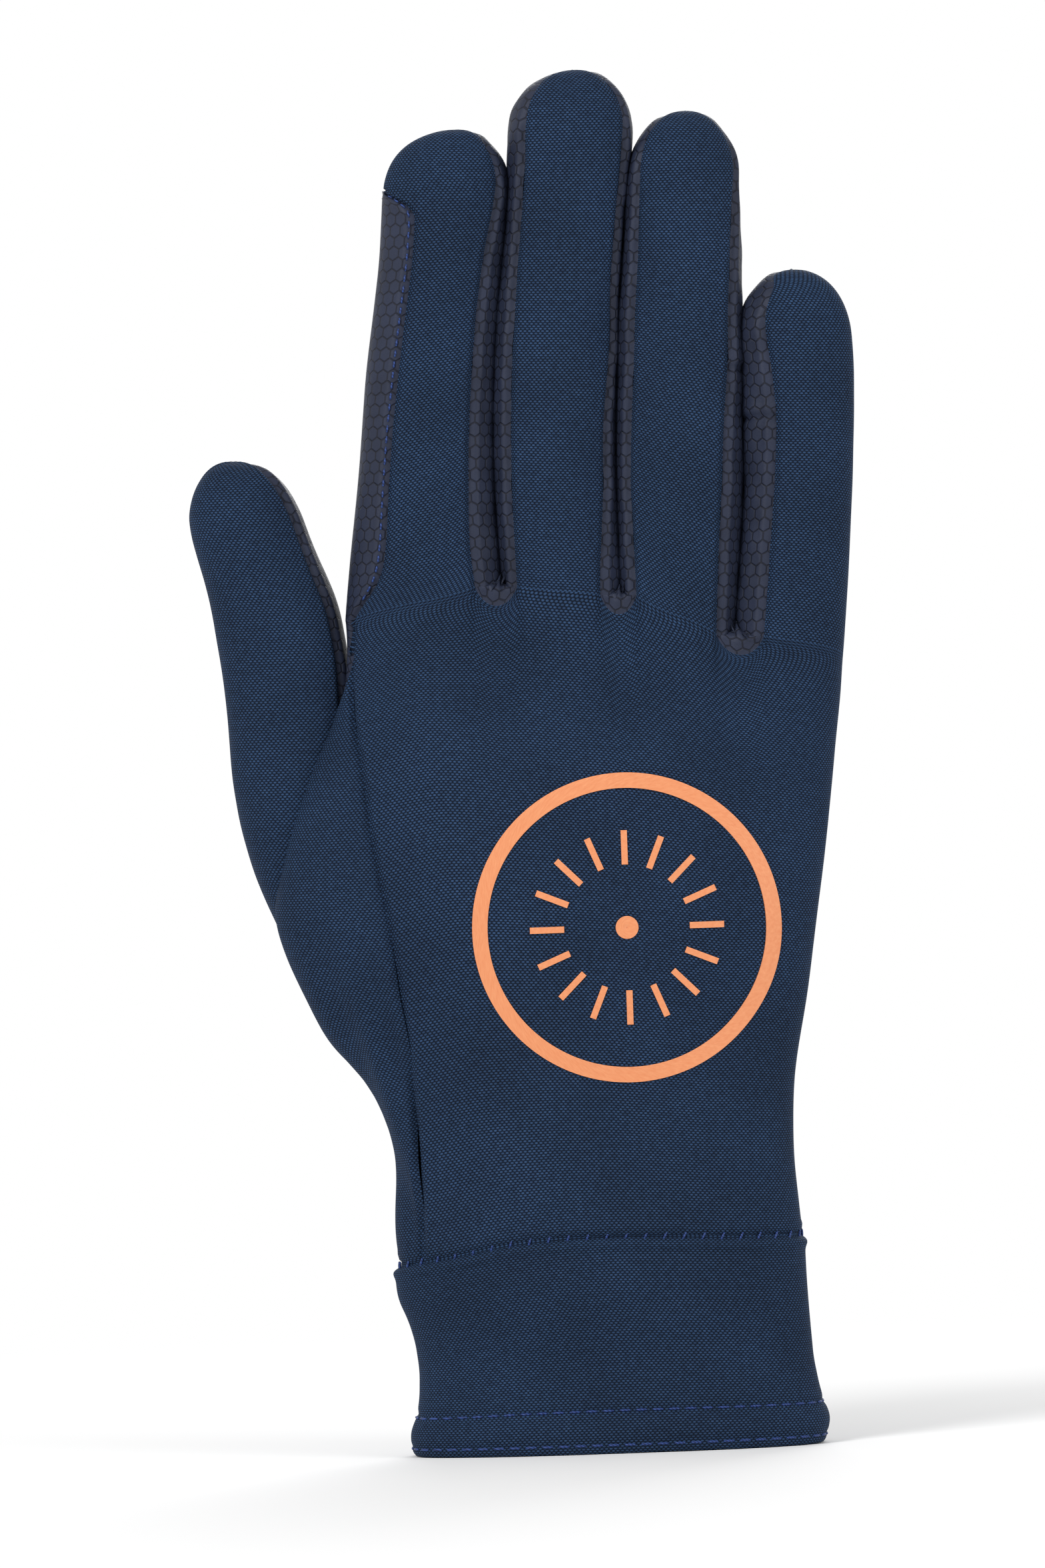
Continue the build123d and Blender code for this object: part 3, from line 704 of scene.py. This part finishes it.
# Hand: a knit back, a gusset of the same knit beside the thumb and a leather palm. The sections are
# rounded boxes up to the knuckles; over the last stretch they turn into the fingers' own sections, so the
# valleys between the fingers fade out down the hand. All three are sewn to the cuff and to each other.
hand_left = ((34, -38.2), (40, -38.3), (50, -38.8), (55, -39.2), (60, -40.8), (65, -43.3), (70, -46.4),
             (75, -49.8), (80, -52.7), (85, -55.3), (90, -57.3), (95, -58.6), (98, -58.6), (110, -55.6),
             (120, -51.6), (130, -47.8), (140, -44.9), (148, -44.3))
hand_right = ((34, 32.6), (38, 32.5), (42, 32.3), (50, 31.8), (60, 32.1), (65, 32.4), (70, 33.2), (80, 35.3),
              (90, 37.0), (100, 38.6), (110, 40.0), (120, 41.3), (130, 42.6), (140, 43.7), (150, 44.5))
hand_depth = ((36, 15.2), (60, 15.0), (95, 15.6), (125, 13.8), (148, 10.4))
thumb_seam = ((34, -34.1), (50, -34.4), (60, -34.8), (70, -35.5), (80, -36.5), (90, -37.6), (100, -39.3),
              (110, -41.0), (120, -42.0), (130, -43.0), (140, -44.0), (148, -44.2))
BLEND_DOWN = 28.0  # mm below the roots over which the fingers' shapes fade into the hand
SEAM_FADE = 7.0  # mm below the roots over which the grooves of the fingers' seams fade
EASING = 24  # rounds in which each point inside a panel moves towards the mean of its neighbours
OUTER_SEAM = 195.0  # degrees; back and palm are sewn together just round the little-finger edge
THUMB_EDGE = -22.0  # degrees; gusset and palm are sewn together just round the thumb-side edge
LEVEL_RISE = 0.2  # how fast the line under the crotches may climb away from the lowest of them


def hand_section(z):
    """Middle, half width and half depth of the hand at a height."""
    lo, hi = line(z, hand_left), line(z, hand_right)
    return (lo + hi) / 2, (hi - lo) / 2, line(z, hand_depth)


# Distance run across the hand as the angle goes round a section of it, mostly its travel in x: columns
# spread evenly in it stay upright where a seam swings away.
round_angles = np.arange(-90.0, 450.5, 0.5)
travel = np.abs(np.diff(power(np.cos(np.radians(round_angles)), 2 / BOX), prepend=0.0)) * 0.8
round_run = np.cumsum(travel) + 0.2 * round_angles / 90


def spread(low, high, share):
    """Angles that lie a share of the run across the hand from one angle to another."""
    start, end = (np.interp(a, round_angles, round_run) for a in (low, high))
    return np.interp(start + (end - start) * share, round_run, round_angles)


def hand_point(angle, z):
    """A rounded-box ring at each height, its angles those of the cuff."""
    mid, half, depth = hand_section(z)
    c, s = np.cos(np.radians(angle)), np.sin(np.radians(angle))
    return np.stack([mid - half * power(c, 2 / BOX), -depth * power(s, 2 / BOX), z + 0 * c], axis=-1)


def hand_angle(p):
    """Angle of the hand's section at each point of a row, rising along it: from the distance across in the
    middle of the hand, and from the direction of the point near its two edges."""
    mid, half, depth = hand_section(p[:, 2])
    share = (mid - p[:, 0]) / half
    side = -1 if np.mean(p[:, 1]) > 0 else 1
    across = side * np.degrees(np.arccos(power(np.clip(share, -1, 1), BOX / 2)))
    round_edge = np.degrees(np.arctan2(power(-p[:, 1] / depth, BOX / 2), power(share, BOX / 2)))
    start = -90 if side > 0 else -270
    k = smooth((np.abs(share) - 0.88) / 0.1)
    a = ((across - start) % 360) * (1 - k) + ((round_edge - start) % 360) * k + start
    a = np.maximum.accumulate(a) + 0.02 * np.arange(len(a))
    return a if side > 0 else a + 360


def seam_on_hand(z):
    """Angle at which the hand's back passes the thumb seam's distance from the hem's middle."""
    mid, half, _ = hand_section(z)
    share = np.clip((mid - line(z, thumb_seam)) / half, -1, 1)
    return np.degrees(np.arccos(power(share, BOX / 2)))


def hand_panel(top, plain, slope, low_angle, high_angle, easing=EASING, rows=120):
    """Grid from the cuff seam up to a given top row: sections of the hand that turn into the line each
    column follows below the fingers, over a stretch below a level line under the crotches. plain is the top
    row without its sewn grooves, which fade sooner. A panel that comes to a point has no easing, and its
    columns stand at equal shares."""
    if easing:
        run = np.interp(hand_angle(plain), round_angles, round_run)
        share = ((run - run[0]) / (run[-1] - run[0]))[None, :]
    else:
        share = np.linspace(0, 1, len(top))[None, :]
    t = np.linspace(0, 1, rows)[:, None]
    low = np.full_like(share, 38.0)
    start = hand_point(spread(low_angle(low), high_angle(low), share), low)
    foot = line(start[..., 0], seam_height) - 0.6
    level = np.min(plain[None, :, 2] + LEVEL_RISE * np.abs(plain[:, None, 0] - plain[None, :, 0]), axis=1)
    z = foot + (level - foot) * t + (plain[:, 2] - level) * t ** 10
    p = hand_point(spread(low_angle(z), high_angle(z), share), z)
    depth_below = (plain[None, :, 2] - z)[..., None]
    below = plain[None] - slope[None] * depth_below
    s = smooth(1 + (z - level) / BLEND_DOWN)[..., None]
    p = p * (1 - s) + below * s + (top - plain)[None] * smooth(1 - depth_below / SEAM_FADE)
    for _ in range(easing):
        p[1:-1, 1:-1] = (2 * p[1:-1, 1:-1] + p[:-2, 1:-1] + p[2:, 1:-1] + p[1:-1, :-2] + p[1:-1, 2:]) / 6
    return p


def slope_of(name, count):
    """Lean of a finger's middle line near its foot, per mm of height, for count columns."""
    low, high = (np.mean([line(z, limbs[name][edge]) for edge in ("left", "right")]) for z in (155.0, 167.0))
    return np.repeat([[(high - low) / 12, 0, 1]], count, axis=0)


def joined(parts):
    """Rows that share their end points, end to end."""
    return np.concatenate([parts[0]] + [q[1:] for q in parts[1:]])


def top_row(sides, source):
    """Top of the hand: finger panels in turn, with the crotches' edges between them."""
    points, slopes = [], []
    for k, (name, side) in enumerate(sides):
        grid = source[name][side]
        slope = slope_of(name, grid.shape[1])
        if k and sides[k - 1][0] != name:
            pair = min(names.index(name), names.index(sides[k - 1][0]))
            saddle = crotch_grid(source, names[pair], names[pair + 1])
            arc = saddle[0] if side == "back" else saddle[-1][::-1]
            a = np.linspace(0, 1, len(arc))[:, None]
            points.append(arc)
            slopes.append(slopes[-1][-1] * (1 - a) + slope[0] * a)
        points.append(grid[0])
        slopes.append(slope)
    return joined(points), joined(slopes)


back_sides = [(n, "back") for n in names]
palm_sides = [(n, "palm") for n in names[::-1]] + [("index", "left")]
back_top, back_plain = top_row(back_sides, grids)[0], top_row(back_sides, plain_grids)
palm_top, palm_plain = top_row(palm_sides, grids)[0], top_row(palm_sides, plain_grids)
end_angle = float(hand_angle(back_plain[0])[-1])


def outer_edge(z):
    """Seam beside the little finger, which swings to the finger's own seam above 100 mm."""
    return OUTER_SEAM + (end_angle - OUTER_SEAM) * smooth((z - 100) / 37)


def thumb_edge(z):
    """Seam between gusset and palm, which swings to the hand's side above 100 mm."""
    return THUMB_EDGE * (1 - smooth((z - 100) / 45))


GUSSET_COLUMNS = 34
hand_back = hand_panel(back_top, *back_plain, seam_on_hand, outer_edge)
hand_palm = hand_panel(palm_top, *palm_plain, outer_edge, lambda z: 360 + thumb_edge(z))
point, plain_point, point_slope = (row[:1].repeat(GUSSET_COLUMNS, axis=0) for row in (back_top, *back_plain))
gusset = hand_panel(point, plain_point, point_slope, thumb_edge, seam_on_hand, easing=0)


def below_roots(p):
    """1 down the hand, falling to 0 at its top row, where the fingers carry the surface on."""
    return smooth((p[-1:, :, 2] - p[..., 2]) / 18)


folds = 0.55 * np.sin((gusset[..., 0] * 0.9 + gusset[..., 2] * 0.28)) * smooth((100 - gusset[..., 2]) / 30)
gusset = gusset + outward(gusset) * folds[..., None]
for name, p, size, seed, material, slot, node in (
        ("hand_knit_back", hand_back, 30, 5, knit, "knit", "back_panel"),
        ("hand_leather_palm", hand_palm, 26, 6, leather, "grip_leather", "palm_panel"),
        ("thumb_side_gusset", gusset, 30, 5, knit, "knit", "thumb_gusset")):
    p = sewn(wavy(p, 0.4, size, seed, below_roots(p)), ("left", "right", "low"), groove=0.8, lip=0.2)
    piece = panel(name, p, material)
    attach(piece, "hand")
    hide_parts(node)

# Thumb: knit back and leather palm with a narrow leather strip up its inner side. It stands beside the
# hand, nearer the palm, and runs down behind the gusset's edge.
thumb = dict(
    left=((82, -52.0), (88, -55.5), (95, -58.4), (100, -60.3), (105, -62.0), (112, -63.8), (120, -64.8),
          (130, -65.4), (140, -66.3), (150, -67.5), (155, -68.6), (160, -70.0), (165, -71.0), (170, -71.0)),
    right=((82, -48.0), (92, -47.0), (100, -45.5), (110, -43.5), (120, -42.6), (130, -42.8), (140, -43.6),
           (150, -45.2), (155, -46.8), (160, -48.9), (165, -50.8), (170, -52.4)),
    seam_right=((82, -49.0), (120, -44.6), (140, -45.4), (150, -47.0), (155, -48.9), (160, -50.6),
                (165, -52.4), (170, -54.2)),
    depth=((84, 4.5), (96, 7.0), (112, 8.6), (150, 8.6), (168, 8.0)), tip=(-62.2, 176.3), shoulder=165.5,
    root=(84.0, 84.0), y=5.0)


def thumb_back_edge(z, cap):
    """The back is sewn to the palm 12 degrees round the thumb's outer side, and runs to the tip."""
    return -12.0 * smooth(cap / BACK_CLOSES)


_, _, thumb_right, thumb_palm, _, _ = limb_seams("thumb", thumb)
thumb_grids = {
    "back": limb_panel(thumb, thumb_back_edge, thumb_right, BACK_COLUMNS, thumb["root"]),
    "right": limb_panel(thumb, thumb_right, thumb_palm, STRIP_COLUMNS, thumb["root"]),
    "palm": limb_panel(thumb, thumb_palm, lambda z, cap: 360 + thumb_back_edge(z, cap), PALM_COLUMNS,
                       thumb["root"])}
THUMB_SPLIT = 139.0  # height at which the thumb's panels are parted, between its two hinges
from_hand = Vector(joints["thumb_fold"]["axis"]).cross(Vector((0, 1, 0))).normalized()
from_hand = from_hand if from_hand.x < 0 else -from_hand
for side, p in thumb_grids.items():
    material, slot = (knit, "knit") if side == "back" else (leather, "grip_leather")
    p = sewn(wavy(p, 0.3, 20, 12), ("left", "right"), groove=0.7, lip=0.2)
    k = int(np.argmin(np.abs(p[:ROWS, 0, 2] - THUMB_SPLIT)))
    word = {"back": "knit_back", "right": "inner_strip", "palm": "leather_palm"}[side]
    base = panel(f"thumb_{word}_base", p[:k + 1], material)
    bend_over(base, "thumb_fold", way=from_hand)
    end = panel(f"thumb_{word}_end", p[k:], material, shift=(0, measured(p, 0)[k, p.shape[1] // 2]))
    bend_over(end, "thumb_middle_joint")
    if side != "right":
        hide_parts(f"thumb_{side}_lower")
        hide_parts(f"thumb_{side}_upper")

# Print: a plain ring and a dial of bars, cut from heat-transfer film and pressed on the knit. The film is
# a satin copper orange and lets a little of the knit's grain through.
PRINT_CENTRE, RING, FILM = (3.5, 92.0), (24.4, 27.1), 0.22  # centre, the ring's two radii, film thickness
film = bpy.data.materials.new("copper heat-transfer film")
tree = emptied(film)
uv, radius, _ = cells(tree, knit_wale, knit_course)
speckle = add(tree, "ShaderNodeTexNoise", {"Vector": uv.outputs[0], "Scale": 1.4, "Detail": 5.0})
foil = add(tree, "ShaderNodeMix", {0: speckle.outputs[0], 6: srgb("cc7446"), 7: srgb("df986a")},
           data_type="RGBA")
bump = add(tree, "ShaderNodeBump", {"Height": radius, "Strength": 0.25, "Distance": 0.0001})
satin = add(tree, "ShaderNodeBsdfPrincipled", {"Base Color": foil.outputs[2], "Roughness": 0.42,
                                               "Normal": bump.outputs[0], "Specular IOR Level": 0.4})
add(tree, "ShaderNodeOutputMaterial", {"Surface": satin.outputs[0]})


def on_back(x, z):
    """Points of the hand's rounded-box section at distances across and heights."""
    mid, half, depth = hand_section(z)
    share = np.clip(np.abs(x - mid) / half, 0, 0.999)
    return np.stack([x, -depth * (1 - share ** BOX) ** (1 / BOX), z], axis=-1)


def film_shape(name, x, z, node=None):
    """A cut shape of film on the knit, which has the knit back's own waves."""
    p = wavy(on_back(x, z), 0.4, 30, 5)
    obj = panel(name, p + outward(p) * 0.18, film, wall=FILM)
    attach(obj, "hand")
    if node:
        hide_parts(node)


around = np.radians(np.linspace(0, 360, 241))[None, :]
r = np.linspace(RING[0], RING[1], 9)[:, None]
film_shape("print_ring_film", PRINT_CENTRE[0] - r * np.cos(around), PRINT_CENTRE[1] + r * np.sin(around),
           "print_ring")
BARS, BAR_WIDTH, BAR_SPAN, DOT = 16, 1.1, (11.0, 17.0), 2.0
across, out = np.meshgrid(np.linspace(-BAR_WIDTH / 2, BAR_WIDTH / 2, 4), np.linspace(*BAR_SPAN, 14))
for bar in range(BARS):
    swing = 2 * np.pi * bar / BARS
    film_shape(f"print_bar_{bar + 1}", PRINT_CENTRE[0] + across * np.cos(swing) + out * np.sin(swing),
               PRINT_CENTRE[1] - across * np.sin(swing) + out * np.cos(swing),
               "print_dial" if bar == 0 else None)
r = np.linspace(0, DOT, 6)[:, None]
around = around[:, ::6]
film_shape("print_dot", PRINT_CENTRE[0] - r * np.cos(around), PRINT_CENTRE[1] + r * np.sin(around))

bpy.context.view_layer.update()
